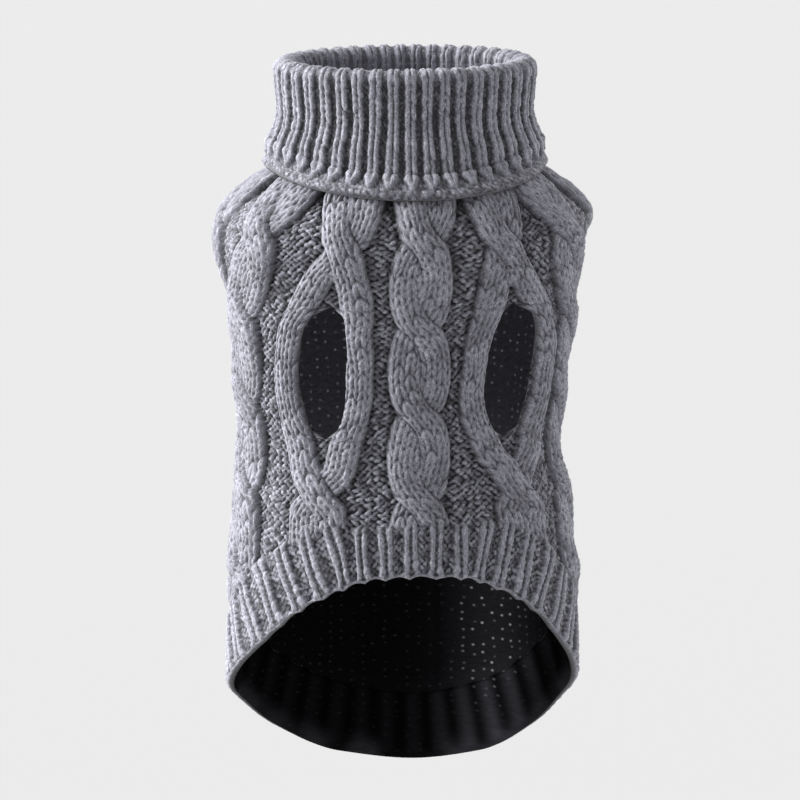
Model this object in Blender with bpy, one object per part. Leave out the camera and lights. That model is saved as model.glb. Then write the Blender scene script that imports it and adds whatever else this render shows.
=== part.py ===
"""Dog sweater: a knitted coat, filled out and hollow, with its neck up and its belly to -Y.

The origin is in the middle of the neck, level with the collar's turned-down edge, +Z runs up
through the collar, and -Y is the belly side. Each panel is one closed wall: a plain inside,
and an outside whose points are raised by the cables or ribs that are knitted into it. Angles
go round the body in degrees from the middle of the belly (0) towards +X (90) and the middle
of the back (180).
"""
import math
from collections import namedtuple

import bmesh
import bpy
from mathutils import Vector

# ---------------------------------------------------------------- driving dimensions, in mm
MM = 0.001
PROBE = 0.5                     # degrees or mm to each side, where a slope is measured
SEAM_GAP = 0.4                  # space left between two pieces that are sewn together
KNIT_WALL = 2.0                 # plain knitted ground of the body
NECK_SEAM = 10.0                # height of the neck seam, under the folded collar

STRAND_HEIGHT = 3.2             # cable strand above the ground
STRAND_LIFT = 1.2               # how far the upper strand rises and the lower one sinks
STRAND_HALF_WIDTH = 6.5
STRAND_WEB = 0.93               # share of its height kept between two strands side by side
ROPE_HALF_SPREAD = 6.4          # rope cable: strand centre to cable centre at its widest
ROPE_FIRST_CROSSING = -23.0
ROPE_PITCH = 35.0               # from one crossing to the next
ROPE_SHARPNESS = 0.7            # under 1, the strands cross steeply and then run straight
CABLE_REACH = 32.0              # degrees either side of its centre that a cable can cover
GATHER_END = -14.0              # height by which the cables have risen from the neck seam
HEM_FLATTENING = 0.35           # share of a cable's height lost where the hem band begins
HEM_FLATTENING_LENGTH = 6.0

HOLE_TOP = -50.2                # leg opening, a long oval between two strands
HOLE_BOTTOM = -104.2
HOLE_HALF_WIDTHS = {"left": 10.8, "right": 12.1}
HOLE_BLUNTNESS = (3.2, 2.0)     # of its upper and its lower end; 2 is an ellipse
HOLE_SHOULDER = 0.45

HEM_RIBS = 36
HEM_START = -0.36               # ribs from the middle of the belly to the first rib
HEM_EVENING = 3.5               # degrees; keeps the ribs evenly spaced along the oval
HEM_RIB_HEIGHT = 2.2
HEM_CREST_SHARE = 0.46          # raised part of one rib's pitch
RIB_FLANK_SHARE = 0.1           # slope at each side of a hem rib, as a share of its pitch
RIB_LEAN_PIVOT = 0.3            # share of the band's height at which a leaning rib is in place
HEM_SKEW = 7.5                  # degrees that the back's lowest point lies towards +X

COLLAR_RIBS = 40
COLLAR_START = -0.33
COLLAR_EVENING = 4.1
COLLAR_WALL = 1.8
COLLAR_RIB_HEIGHT = 1.7
COLLAR_CREST_SHARE = 0.62
COLLAR_FRONT_DIP = 7.2          # how far the bind-off edge hangs lower under the chin
COLLAR_DIP_NARROWNESS = 2.2
FOLD_HEIGHT = 38.5              # centre of the rolled rim
FOLD_RADIUS = 1.5               # hidden side of the fold
FOLD_STEPS = 4

# ------------------------------------------------------------- tables, in mm and degrees
# Outer face of the body's ground: half width across X, depth as a share of width, and how far
# the flanks are pulled towards +X.
BodyRow = namedtuple("BodyRow", "height half_width depth askew")
BODY_ROWS = (
    BodyRow(12.0, 46.1, 0.750, 0.0),
    BodyRow(10.0, 46.2, 0.750, 0.0),
    BodyRow(7.0, 47.0, 0.753, 0.0),
    BodyRow(2.0, 50.6, 0.758, 0.0),
    BodyRow(-6.0, 59.8, 0.768, 0.0),
    BodyRow(-14.0, 67.5, 0.776, 0.0),
    BodyRow(-20.0, 71.6, 0.780, 0.0),
    BodyRow(-26.0, 72.6, 0.780, -0.5),
    BodyRow(-34.0, 71.6, 0.780, -1.6),
    BodyRow(-55.0, 68.0, 0.780, -1.6),
    BodyRow(-87.0, 64.0, 0.780, -2.2),
    BodyRow(-107.0, 62.4, 0.780, -3.0),
    BodyRow(-119.0, 63.0, 0.780, -2.4),
    BodyRow(-136.0, 65.4, 0.780, -1.8),
    BodyRow(-176.0, 68.4, 0.780, -1.0),
    BodyRow(-200.0, 69.4, 0.780, -1.0),
    BodyRow(-252.0, 69.2, 0.780, -1.0),
)

# Lower edge of the panels, lower edge of the hem band, and how far the band's ribs lean
# towards the belly on their way down.
HemRow = namedtuple("HemRow", "angle panel_edge hem_edge lean")
HEM_ROWS = (
    HemRow(0.0, -133.0, -158.5, 0.0),
    HemRow(15.0, -133.0, -159.5, 1.5),
    HemRow(30.0, -135.0, -165.5, 6.5),
    HemRow(45.0, -140.0, -175.0, 10.5),
    HemRow(60.0, -150.0, -188.0, 14.0),
    HemRow(75.0, -162.0, -199.0, 15.0),
    HemRow(90.0, -173.5, -208.5, 14.5),
    HemRow(110.0, -187.0, -219.0, 12.0),
    HemRow(130.0, -203.5, -233.0, 8.5),
    HemRow(155.0, -218.0, -246.5, 4.0),
    HemRow(180.0, -223.5, -250.5, 0.0),
)

# Rows of points down the hem band: share of its height, share of the rib's height, and how
# far the points are drawn in to round the edge.
HemStep = namedtuple("HemStep", "share rib inset")
HEM_STEPS = (
    HemStep(0.0, 0.9, 0.0),
    HemStep(0.45, 1.0, 0.0),
    HemStep(0.93, 1.0, 0.0),
    HemStep(1.0, 0.2, 0.5),
)
HEM_INNER_SHARES = (0.0, 0.5, 0.985)

# Seam between the belly and back panels: the belly is narrow at the neck.
SeamRow = namedtuple("SeamRow", "height angle")
SEAM_ROWS = (
    SeamRow(12.0, 40.0),
    SeamRow(-10.0, 41.5),
    SeamRow(-23.0, 44.5),
    SeamRow(-35.0, 49.0),
    SeamRow(-48.0, 54.5),
    SeamRow(-60.0, 59.0),
    SeamRow(-76.0, 62.0),
    SeamRow(-100.0, 62.5),
    SeamRow(-170.0, 62.5),
)

# Centre lines of the rope cables on the +X half; each but the first and last is mirrored, and
# the belly's is drawn a little to one side at the neck.
CableRow = namedtuple("CableRow", "height belly flank rear_flank loin spine")
CABLE_ROWS = (
    CableRow(12.0, 2.6, 54.0, 93.0, 136.0, 180.0),
    CableRow(-10.0, 2.4, 55.0, 94.0, 137.0, 180.0),
    CableRow(-23.0, 1.0, 58.5, 97.0, 139.0, 180.0),
    CableRow(-35.0, 0.2, 63.5, 101.0, 142.0, 180.0),
    CableRow(-60.0, 0.0, 75.0, 110.5, 146.5, 180.0),
    CableRow(-80.0, 0.0, 79.0, 113.0, 147.0, 180.0),
    CableRow(-250.0, 0.0, 79.0, 113.0, 147.0, 180.0),
)

# The two cables that open round the legs: centre line of each, and the distance of its strands
# from that, counted negative while they have changed sides. The flare makes one strand of the
# right cable wider than the other.
LegRow = namedtuple("LegRow", "height left left_spread right right_spread right_flare half_width")
LEG_ROWS = (
    LegRow(12.0, -24.6, 6.1, 28.6, 5.6, 0.0, 6.6),
    LegRow(-7.0, -24.6, 6.1, 28.6, 5.6, 0.0, 6.6),
    LegRow(-14.0, -23.8, 5.6, 27.5, 5.0, 0.0, 6.4),
    LegRow(-20.0, -23.5, 4.2, 27.3, 3.2, 0.0, 6.4),
    LegRow(-26.0, -24.6, 0.3, 28.0, -0.7, 0.0, 6.4),
    LegRow(-35.0, -27.7, -5.0, 30.0, -4.5, 0.2, 6.5),
    LegRow(-45.0, -29.8, -9.5, 33.0, -8.8, 0.5, 6.6),
    LegRow(-53.0, -32.1, -12.3, 35.5, -12.6, 0.6, 6.2),
    LegRow(-60.0, -34.3, -14.3, 36.4, -15.3, 0.8, 5.9),
    LegRow(-71.0, -35.6, -15.7, 37.7, -18.1, 0.9, 5.7),
    LegRow(-82.0, -36.5, -15.8, 37.0, -18.0, 0.9, 5.7),
    LegRow(-92.0, -36.7, -14.1, 36.7, -16.6, 0.8, 5.9),
    LegRow(-103.0, -36.9, -10.8, 37.2, -12.1, 0.5, 6.4),
    LegRow(-110.0, -36.9, -8.8, 38.4, -9.8, 0.3, 6.6),
    LegRow(-116.0, -36.8, -7.1, 39.4, -5.9, 0.1, 6.6),
    LegRow(-127.0, -37.8, 0.4, 39.9, 0.6, 0.0, 6.5),
    LegRow(-135.0, -37.7, 5.7, 41.4, 5.6, 0.0, 6.5),
    LegRow(-160.0, -37.5, 6.4, 42.5, 6.5, 0.0, 6.6),
)
LEG_CROSSINGS = (-25.0, -126.0)
LEG_CROSSING_REACH = 20.0

# Middle lines of the leg openings.
HoleRow = namedtuple("HoleRow", "height left right")
HOLE_ROWS = (
    HoleRow(-50.2, -30.6, 34.6),
    HoleRow(-54.5, -32.0, 36.5),
    HoleRow(-60.0, -33.6, 37.0),
    HoleRow(-70.0, -34.9, 36.6),
    HoleRow(-80.0, -36.0, 35.5),
    HoleRow(-92.0, -35.7, 35.2),
    HoleRow(-104.2, -35.8, 34.9),
)

# Hidden side of the collar's outer layer, which the neck and shoulders lie behind.
CollarRow = namedtuple("CollarRow", "height half_width depth")
COLLAR_ROWS = (
    CollarRow(38.5, 49.4, 0.750),
    CollarRow(30.0, 48.7, 0.750),
    CollarRow(23.0, 48.2, 0.750),
    CollarRow(17.0, 49.2, 0.752),
    CollarRow(10.0, 52.0, 0.760),
    CollarRow(5.0, 52.8, 0.770),
    CollarRow(1.0, 54.8, 0.776),
    CollarRow(-2.0, 59.4, 0.780),
    CollarRow(-4.0, 62.4, 0.780),
    CollarRow(-7.5, 66.2, 0.780),
)
COLLAR_INNER_HALF_WIDTH = 46.4
COLLAR_INNER_DEPTH = 0.750
COLLAR_INNER_MIDDLE = 24.0

# Rows of points up the collar's outer layer: height at the back, share of the front dip,
# share of the rib's height, and the bind-off bead's extra thickness.
CollarStep = namedtuple("CollarStep", "height dip rib bead")
COLLAR_STEPS = (
    CollarStep(0.0, 1.0, 0.0, 0.2),
    CollarStep(1.2, 0.9, 0.1, 1.7),
    CollarStep(4.0, 0.7, 0.3, 1.7),
    CollarStep(6.4, 0.45, 0.7, 0.2),
    CollarStep(16.0, 0.0, 1.0, 0.0),
    CollarStep(25.0, 0.0, 1.0, 0.0),
    CollarStep(34.0, 0.0, 1.0, 0.0),
)

BELLY_SIDE_COLUMNS = 6          # seam to leg opening; every count here is even
BELLY_MIDDLE_COLUMNS = 8        # leg opening to the middle of the belly
BELLY_ROWS = (16, 12, 8)        # above, beside and below the leg openings
BACK_COLUMNS = 48
BACK_ROW_COUNT = 34

GREY_YARN = (0.26, 0.26, 0.29)
SOFT_GREY_YARN = (0.30, 0.30, 0.33)


# --------------------------------------------------------------------------------- tables
def read_table(rows, column, x):
    """Smooth value of a column at x, with no overshoot; the first column is the key."""
    ordered = rows if rows[0][0] < rows[-1][0] else rows[::-1]
    keys = [row[0] for row in ordered]
    values = [getattr(row, column) for row in ordered]
    if x <= keys[0]:
        return values[0]
    if x >= keys[-1]:
        return values[-1]
    at = max(i for i in range(len(keys) - 1) if keys[i] <= x)

    def chord(i):
        return (values[i + 1] - values[i]) / (keys[i + 1] - keys[i])

    def slope(i):
        if i == 0 or i == len(keys) - 1:
            return 0.0
        before, after = chord(i - 1), chord(i)
        if before * after <= 0.0:
            return 0.0
        return 2.0 * before * after / (before + after)

    span = keys[at + 1] - keys[at]
    t = (x - keys[at]) / span
    rise = values[at + 1] - values[at]
    start, end = slope(at) * span, slope(at + 1) * span
    return (values[at] + start * t + (3.0 * rise - 2.0 * start - end) * t * t
            + (start + end - 2.0 * rise) * t ** 3)


def ramp(x, low, high):
    """0 at low, 1 at high, smooth between."""
    t = min(max((x - low) / (high - low), 0.0), 1.0)
    return t * t * (3.0 - 2.0 * t)


def folded(angle):
    """Angle from the middle of the belly, 0 to 180, and its side."""
    wrapped = (angle + 180.0) % 360.0 - 180.0
    return abs(wrapped), (1.0 if wrapped >= 0.0 else -1.0)


# ----------------------------------------------------------------------------- body surface
def ground_point(angle, height):
    """Point of the body's plain outer face."""
    half_width = read_table(BODY_ROWS, "half_width", height)
    half_depth = half_width * read_table(BODY_ROWS, "depth", height)
    turn = math.radians(angle)
    across = half_width * math.sin(turn)
    across += read_table(BODY_ROWS, "askew", height) * math.sin(turn) ** 4
    return Vector((across, -half_depth * math.cos(turn), height))


def ground_normal(angle, height):
    along = ground_point(angle + PROBE, height) - ground_point(angle - PROBE, height)
    up = ground_point(angle, height + PROBE) - ground_point(angle, height - PROBE)
    return along.cross(up).normalized()


def mm_per_degree(angle, height):
    return (ground_point(angle + PROBE, height) - ground_point(angle - PROBE, height)).length


def hem_angle(angle):
    """Angle at which the hem tables are read: the long back hangs a little askew."""
    behind = 0.5 * (1.0 - math.cos(math.radians(angle)))
    return folded(angle + HEM_SKEW * behind * behind)[0]


def panel_edge(angle):
    return read_table(HEM_ROWS, "panel_edge", hem_angle(angle))


def hem_edge(angle):
    return read_table(HEM_ROWS, "hem_edge", hem_angle(angle))


# ------------------------------------------------------------------------------------ cables
def strand_profile(across):
    """Round-shouldered section of a strand; across is -1 to 1."""
    if abs(across) >= 1.0:
        return 0.0
    return (1.0 - abs(across) ** 3) ** 0.6


def rope_strand(height, sign, _name):
    """Offset in mm, half width and height of one strand of a rope cable."""
    phase = math.pi * (ROPE_FIRST_CROSSING - height) / ROPE_PITCH
    swing = math.sin(phase) / math.hypot(math.sin(phase), ROPE_SHARPNESS * math.cos(phase))
    offset = sign * ROPE_HALF_SPREAD * swing
    return offset, STRAND_HALF_WIDTH, STRAND_HEIGHT + sign * STRAND_LIFT * math.cos(phase)


def leg_strand(height, sign, name):
    """The same for a strand of a cable that opens round a leg."""
    offset = -sign * read_table(LEG_ROWS, name + "_spread", height)
    half_width = read_table(LEG_ROWS, "half_width", height)
    if name == "right":
        half_width += sign * read_table(LEG_ROWS, "right_flare", height)
    lift = 0.0
    for number, crossing in enumerate(LEG_CROSSINGS):
        near = math.exp(-((height - crossing) / (0.5 * LEG_CROSSING_REACH)) ** 2)
        lift += near * (1.0 if number % 2 == 0 else -1.0)
    return offset, half_width, STRAND_HEIGHT + sign * STRAND_LIFT * lift


Cable = namedtuple("Cable", "rows name side strand")
CABLES = (
    Cable(LEG_ROWS, "left", 1.0, leg_strand),
    Cable(LEG_ROWS, "right", 1.0, leg_strand),
    Cable(CABLE_ROWS, "belly", 1.0, rope_strand),
    Cable(CABLE_ROWS, "flank", 1.0, rope_strand),
    Cable(CABLE_ROWS, "flank", -1.0, rope_strand),
    Cable(CABLE_ROWS, "rear_flank", 1.0, rope_strand),
    Cable(CABLE_ROWS, "rear_flank", -1.0, rope_strand),
    Cable(CABLE_ROWS, "loin", 1.0, rope_strand),
    Cable(CABLE_ROWS, "loin", -1.0, rope_strand),
    Cable(CABLE_ROWS, "spine", 1.0, rope_strand),
)


def cable_relief(cable, angle, height):
    """Height of a cable's two strands over the ground, at one point."""
    centre = cable.side * read_table(cable.rows, cable.name, height)
    away = (angle - centre + 180.0) % 360.0 - 180.0
    if abs(away) > CABLE_REACH:
        return 0.0
    beside = away * mm_per_degree(centre, height)
    top, lower = 0.0, STRAND_HEIGHT
    for sign in (1.0, -1.0):
        offset, half_width, rise = cable.strand(height, sign, cable.name)
        drift = (cable.strand(height + PROBE, sign, cable.name)[0]
                 - cable.strand(height - PROBE, sign, cable.name)[0])
        share = (beside - offset) / (half_width * math.hypot(1.0, drift / (2.0 * PROBE)))
        top = max(top, rise * strand_profile(share))
        lower = min(lower, rise)
    apart = abs(offset)
    if abs(beside) < apart:
        # strands that touch have no deep groove between them
        touching = ramp(half_width - apart, -0.8, 0.1)
        web = touching * lower * STRAND_WEB * strand_profile(beside / (apart + half_width))
        top = max(top, web)
    return top


def body_relief(angle, height):
    """Outer points' height over the ground, from every cable round the body."""
    top = max(cable_relief(cable, angle, height) for cable in CABLES)
    gathered = ramp(height, NECK_SEAM, GATHER_END)
    above_hem = ramp(height - panel_edge(angle), 0.0, HEM_FLATTENING_LENGTH)
    return top * gathered * (1.0 - HEM_FLATTENING * (1.0 - above_hem))


# ------------------------------------------------------------------------------- wall making
def outer_body_point(angle, height):
    return ground_point(angle, height) + ground_normal(angle, height) * body_relief(angle, height)


def inner_body_point(angle, height):
    return ground_point(angle, height) - ground_normal(angle, height) * KNIT_WALL


def close_edge(faces, fine, coarse):
    """Faces between a fine row of points and a coarse one that ends at the same places."""
    ratio = (len(fine) - 1) // (len(coarse) - 1)
    half = ratio // 2
    for k in range(len(coarse) - 1):
        for j in range(ratio):
            anchor = coarse[k] if j < half else coarse[k + 1]
            faces.append((fine[k * ratio + j], fine[k * ratio + j + 1], anchor))
        faces.append((coarse[k], fine[k * ratio + half], coarse[k + 1]))


def make_object(name, points, faces, material, collection):
    """Object from points in mm, faces turned outward, shaded smooth."""
    mesh = bpy.data.meshes.new(name)
    mesh.from_pydata([point * MM for point in points], [], faces)
    shape = bmesh.new()
    shape.from_mesh(mesh)
    bmesh.ops.recalc_face_normals(shape, faces=shape.faces)
    shape.to_mesh(mesh)
    shape.free()
    mesh.shade_smooth()
    mesh.materials.append(material)
    part = bpy.data.objects.new(name, mesh)
    collection.objects.link(part)
    return part


def wall_panel(place, columns, rows, slits=()):
    """Points and faces of a panel that is knitted flat.

    place(row, column, side) gives an angle and a height; a slit is (column, first row, last
    row), along which the panel parts into a left (-1) and a right (1) side.
    """
    points, faces, index = [], [], {}

    def in_slit(row, column):
        return any(column == s[0] and s[1] < row < s[2] for s in slits)

    def vertex(layer, row, column, side):
        key = (layer, row, column, side if in_slit(row, column) else 0)
        if key not in index:
            make = outer_body_point if layer == "outer" else inner_body_point
            index[key] = len(points)
            points.append(make(*place(row, column, key[3])))
        return index[key]

    for layer, stride in (("outer", 1), ("inner", 2)):
        for row in range(0, rows, stride):
            for column in range(0, columns, stride):
                faces.append((vertex(layer, row, column, 1),
                              vertex(layer, row, column + stride, -1),
                              vertex(layer, row + stride, column + stride, -1),
                              vertex(layer, row + stride, column, 1)))

    edges = [
        [(0, column, 0) for column in range(columns + 1)],
        [(rows, column, 0) for column in range(columns + 1)],
        [(row, 0, 0) for row in range(rows + 1)],
        [(row, columns, 0) for row in range(rows + 1)],
    ]
    for column, first, last in slits:
        for side in (-1, 1):
            edges.append([(row, column, side) for row in range(first, last + 1)])
    for edge in edges:
        close_edge(faces, [vertex("outer", *spot) for spot in edge],
                   [vertex("inner", *spot) for spot in edge[::2]])
    return points, faces


def wall_ring(outer_rows, inner_rows):
    """Points and faces of a closed band, from rows of points that run all the way round."""
    points, faces, layers = [], [], []
    for rows in (outer_rows, inner_rows):
        ids = []
        for row in rows:
            start = len(points)
            points.extend(row)
            ids.append(list(range(start, len(points))) + [start])
        for low, high in zip(ids, ids[1:]):
            for j in range(len(low) - 1):
                faces.append((low[j], low[j + 1], high[j + 1], high[j]))
        layers.append(ids)
    outer, inner = layers
    close_edge(faces, outer[0], inner[0])
    close_edge(faces, outer[-1], inner[-1])
    return points, faces


# ------------------------------------------------------------------------------------ panels
def belly_place(row, column, side):
    """Angle and height of a belly point; columns bend round the leg openings."""
    above, beside, below = BELLY_ROWS
    half_gap = 0.5 * SEAM_GAP
    if row <= above:
        height = NECK_SEAM + (HOLE_TOP - NECK_SEAM) * row / above
    elif row <= above + beside:
        height = HOLE_TOP + (HOLE_BOTTOM - HOLE_TOP) * (row - above) / beside
    else:
        height = HOLE_BOTTOM
    seam = read_table(SEAM_ROWS, "angle", height)
    seam -= half_gap / mm_per_degree(seam, height)
    left = hole_sides(height, "left")
    right = hole_sides(height, "right")
    stops = (-seam, *left, 0.0, *right, seam)
    first = BELLY_SIDE_COLUMNS
    middle = first + BELLY_MIDDLE_COLUMNS
    second = middle + BELLY_MIDDLE_COLUMNS
    if column < first or (column == first and side <= 0):
        angle = stops[0] + (stops[1] - stops[0]) * column / first
    elif column <= middle:
        angle = stops[2] + (stops[3] - stops[2]) * (column - first) / BELLY_MIDDLE_COLUMNS
    elif column < second or (column == second and side <= 0):
        angle = stops[3] + (stops[4] - stops[3]) * (column - middle) / BELLY_MIDDLE_COLUMNS
    else:
        angle = stops[5] + (stops[6] - stops[5]) * (column - second) / BELLY_SIDE_COLUMNS
    if row > above + beside:
        share = (row - above - beside) / below
        height = HOLE_BOTTOM + (panel_edge(angle) - HOLE_BOTTOM) * share
    return angle, height


def hole_sides(height, name):
    """Angles of both sides of a leg opening at a height."""
    middle = 0.5 * (HOLE_TOP + HOLE_BOTTOM)
    share = (height - middle) / (0.5 * (HOLE_TOP - HOLE_BOTTOM))
    bluntness = HOLE_BLUNTNESS[0 if share > 0.0 else 1]
    open_share = max(1.0 - abs(share) ** bluntness, 0.0) ** HOLE_SHOULDER
    line = read_table(HOLE_ROWS, name, height)
    half = HOLE_HALF_WIDTHS[name] * open_share / mm_per_degree(line, height)
    return line - half, line + half


def belly_panel(material, collection):
    columns = 2 * (BELLY_SIDE_COLUMNS + BELLY_MIDDLE_COLUMNS)
    first_row = BELLY_ROWS[0]
    last_row = BELLY_ROWS[0] + BELLY_ROWS[1]
    slits = ((BELLY_SIDE_COLUMNS, first_row, last_row),
             (columns - BELLY_SIDE_COLUMNS, first_row, last_row))
    points, faces = wall_panel(belly_place, columns, sum(BELLY_ROWS), slits)
    return make_object("belly_panel", points, faces, material, collection)


def back_place(row, column, _side):
    """Angle and height of a back point, from the +X seam round to the -X seam."""
    share = row / BACK_ROW_COUNT
    around = column / BACK_COLUMNS
    height, angle = NECK_SEAM, 180.0
    for _ in range(4):
        seam = read_table(SEAM_ROWS, "angle", height)
        seam += 0.5 * SEAM_GAP / mm_per_degree(seam, height)
        angle = seam + (360.0 - 2.0 * seam) * around
        height = NECK_SEAM + (panel_edge(angle) - NECK_SEAM) * share
    return angle, height


def back_panel(material, collection):
    points, faces = wall_panel(back_place, BACK_COLUMNS, BACK_ROW_COUNT)
    return make_object("back_panel", points, faces, material, collection)


# -------------------------------------------------------------------------------------- ribs
def square_rib_corners(count, crest_share):
    """Turns, in ribs, and raised shares of the corners of a band of square ribs."""
    corners = []
    for rib in range(count):
        half_crest = 0.5 * crest_share
        foot = half_crest + RIB_FLANK_SHARE
        corners.append((rib - half_crest, 1.0))
        corners.append((rib + half_crest, 1.0))
        corners.append((rib + foot, 0.0))
        corners.append((rib + 1.0 - foot, 0.0))
    return corners


def rib_angle(turn, count, start, evening):
    """Angle at a number of ribs round a band."""
    even = 360.0 * (turn + start) / count
    return even - evening * math.sin(math.radians(2.0 * even))


def hem_place(turn, share):
    """Angle and height on the hem band; turn is in ribs, share is 0 at its upper edge."""
    angle = rib_angle(turn, HEM_RIBS, HEM_START, HEM_EVENING)
    away, side = folded(angle)
    lean = side * read_table(HEM_ROWS, "lean", away)
    angle -= lean * (share - RIB_LEAN_PIVOT)
    top = panel_edge(angle) - SEAM_GAP
    return angle, top + (hem_edge(angle) - top) * share


def hem_rib(material, collection):
    corners = square_rib_corners(HEM_RIBS, HEM_CREST_SHARE)
    outer_rows = []
    for step in HEM_STEPS:
        row = []
        for turn, raised in corners:
            angle, height = hem_place(turn, step.share)
            lift = HEM_RIB_HEIGHT * step.rib * raised - step.inset
            row.append(ground_point(angle, height) + ground_normal(angle, height) * lift)
        outer_rows.append(row)
    inner_rows = []
    for share in HEM_INNER_SHARES:
        row = []
        for rib in range(HEM_RIBS):
            turn = rib - 0.5 * HEM_CREST_SHARE
            row.append(inner_body_point(*hem_place(turn, share)))
        inner_rows.append(row)
    points, faces = wall_ring(outer_rows, inner_rows)
    return make_object("hem_rib", points, faces, material, collection)


# ------------------------------------------------------------------------------------ collar
def collar_path(angle):
    """Hidden side of the folded collar as (half width, height, depth, rib, bead) stops."""
    dip = -COLLAR_FRONT_DIP * max(math.cos(math.radians(angle)), 0.0) ** COLLAR_DIP_NARROWNESS
    stops = []
    for step in COLLAR_STEPS:
        height = step.height + dip * step.dip
        half_width = read_table(COLLAR_ROWS, "half_width", height)
        depth = read_table(COLLAR_ROWS, "depth", height)
        stops.append((half_width, height, depth, step.rib, step.bead))
    middle = COLLAR_INNER_HALF_WIDTH + FOLD_RADIUS
    for step in range(FOLD_STEPS + 1):
        bend = math.pi * step / FOLD_STEPS
        stops.append((middle + FOLD_RADIUS * math.cos(bend),
                      FOLD_HEIGHT + FOLD_RADIUS * math.sin(bend), COLLAR_INNER_DEPTH, 1.0, 0.0))
    for height, rib in ((COLLAR_INNER_MIDDLE, 1.0), (NECK_SEAM + SEAM_GAP, 0.8)):
        stops.append((COLLAR_INNER_HALF_WIDTH, height, COLLAR_INNER_DEPTH, rib, 0.0))
    return stops


def collar_point(angle, number, depth_of_cloth):
    """Point at a stop of the collar's path, depth_of_cloth(rib, bead) out from it."""
    stops = collar_path(angle)
    half_width, height, depth, rib, bead = stops[number]
    before = stops[max(number - 1, 0)]
    after = stops[min(number + 1, len(stops) - 1)]
    rise = Vector((after[0] - before[0], after[1] - before[1])).normalized()
    out_wide, out_up = rise.y, -rise.x
    turn = math.radians(angle)
    half_depth = depth * half_width
    place = Vector((half_width * math.sin(turn), -half_depth * math.cos(turn), height))
    across = Vector((half_depth * math.sin(turn), -half_width * math.cos(turn), 0.0))
    across.normalize()
    facing = across * out_wide + Vector((0.0, 0.0, 1.0)) * out_up
    return place + facing * depth_of_cloth(rib, bead)


def collar_angle(turn):
    return rib_angle(turn, COLLAR_RIBS, COLLAR_START, COLLAR_EVENING)


def collar(material, collection):
    half_crest = 0.5 * COLLAR_CREST_SHARE
    corners = []
    for rib in range(COLLAR_RIBS):
        corners.append((rib - half_crest, 1.0))
        corners.append((rib + half_crest, 1.0))
        corners.append((rib + 0.5, 0.0))
    stop_count = len(collar_path(0.0))
    outer_rows, inner_rows = [], []
    for number in range(stop_count):
        row = []
        for turn, raised in corners:
            row.append(collar_point(
                collar_angle(turn), number,
                lambda rib, bead: COLLAR_WALL + COLLAR_RIB_HEIGHT * rib * raised + bead))
        outer_rows.append(row)
        inner_rows.append([collar_point(collar_angle(rib - half_crest), number,
                                        lambda *_: 0.0) for rib in range(COLLAR_RIBS)])
    points, faces = wall_ring(outer_rows, inner_rows)
    return make_object("collar", points, faces, material, collection)


# ---------------------------------------------------------------------------------- assembly
def knit_material(name, colour, roughness):
    material = bpy.data.materials.new(name)
    material.use_nodes = True
    shader = material.node_tree.nodes["Principled BSDF"]
    shader.inputs["Base Color"].default_value = (*colour, 1.0)
    shader.inputs["Roughness"].default_value = roughness
    shader.inputs["Metallic"].default_value = 0.0
    return material


def clear_scene():
    for thing in list(bpy.data.objects):
        bpy.data.objects.remove(thing, do_unlink=True)


def main():
    clear_scene()
    collection = bpy.data.collections.new("dog_sweater")
    bpy.context.scene.collection.children.link(collection)
    belly_panel(knit_material("belly_knit", GREY_YARN, 0.95), collection)
    back_panel(knit_material("back_knit", GREY_YARN, 0.95), collection)
    hem_rib(knit_material("hem_rib_knit", SOFT_GREY_YARN, 0.95), collection)
    collar(knit_material("collar_rib_knit", SOFT_GREY_YARN, 0.95), collection)


main()
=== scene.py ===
"""Dog sweater, stitch by stitch: plain-knit cables on a purl ground, with ribbed hem and collar.

Angles go round the body in degrees, from the middle of the belly (0) towards +X (90) and the
spine (180). Heights run along +Z from the turned-down edge of the collar. Lengths are in mm
until a mesh takes them.
"""
import math
from collections import namedtuple
from functools import partial

import bmesh
import bpy
import numpy as np
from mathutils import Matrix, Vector


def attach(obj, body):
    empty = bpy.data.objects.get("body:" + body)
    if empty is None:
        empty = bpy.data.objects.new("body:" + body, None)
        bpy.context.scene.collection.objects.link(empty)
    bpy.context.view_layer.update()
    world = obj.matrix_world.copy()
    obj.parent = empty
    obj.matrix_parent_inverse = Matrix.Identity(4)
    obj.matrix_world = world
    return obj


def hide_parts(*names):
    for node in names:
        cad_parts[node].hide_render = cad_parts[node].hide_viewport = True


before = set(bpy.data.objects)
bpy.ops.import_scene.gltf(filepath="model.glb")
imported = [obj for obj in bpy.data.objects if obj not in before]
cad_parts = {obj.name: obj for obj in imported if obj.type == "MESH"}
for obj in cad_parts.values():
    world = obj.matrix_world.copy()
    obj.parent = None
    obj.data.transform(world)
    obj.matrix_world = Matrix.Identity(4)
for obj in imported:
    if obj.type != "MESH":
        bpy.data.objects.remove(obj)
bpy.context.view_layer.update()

# ---- the sweater's form, in mm
MM = 0.001
PROBE = 0.5                     # degrees or mm to each side, where a slope is measured
MM_PER_DEGREE = 1.12            # of the body's girth, on average
KNIT_WALL = 2.8
HOLE_WALL = 1.3                 # at the edges of the leg openings
FUZZ = 0.30                     # loose fibres, from the lowest to the highest
NECK_SEAM = 10.0

STRAND_HEIGHT = 3.2
STRAND_LIFT = 1.2
STRAND_HALF_WIDTH = 6.5
ROPE_HALF_SPREAD = 6.4
ROPE_FIRST_CROSSING = -23.0
ROPE_PITCH = 35.0
ROPE_SHARPNESS = 0.7
CABLE_REACH = 32.0              # degrees to each side within which a cable counts
GATHER_END = -14.0
GATHERS = (-16.0, -4.0)         # heights between which the ground draws in under the neck
HEM_FLATTENING = 0.35
HEM_FLATTENING_LENGTH = 6.0

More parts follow.
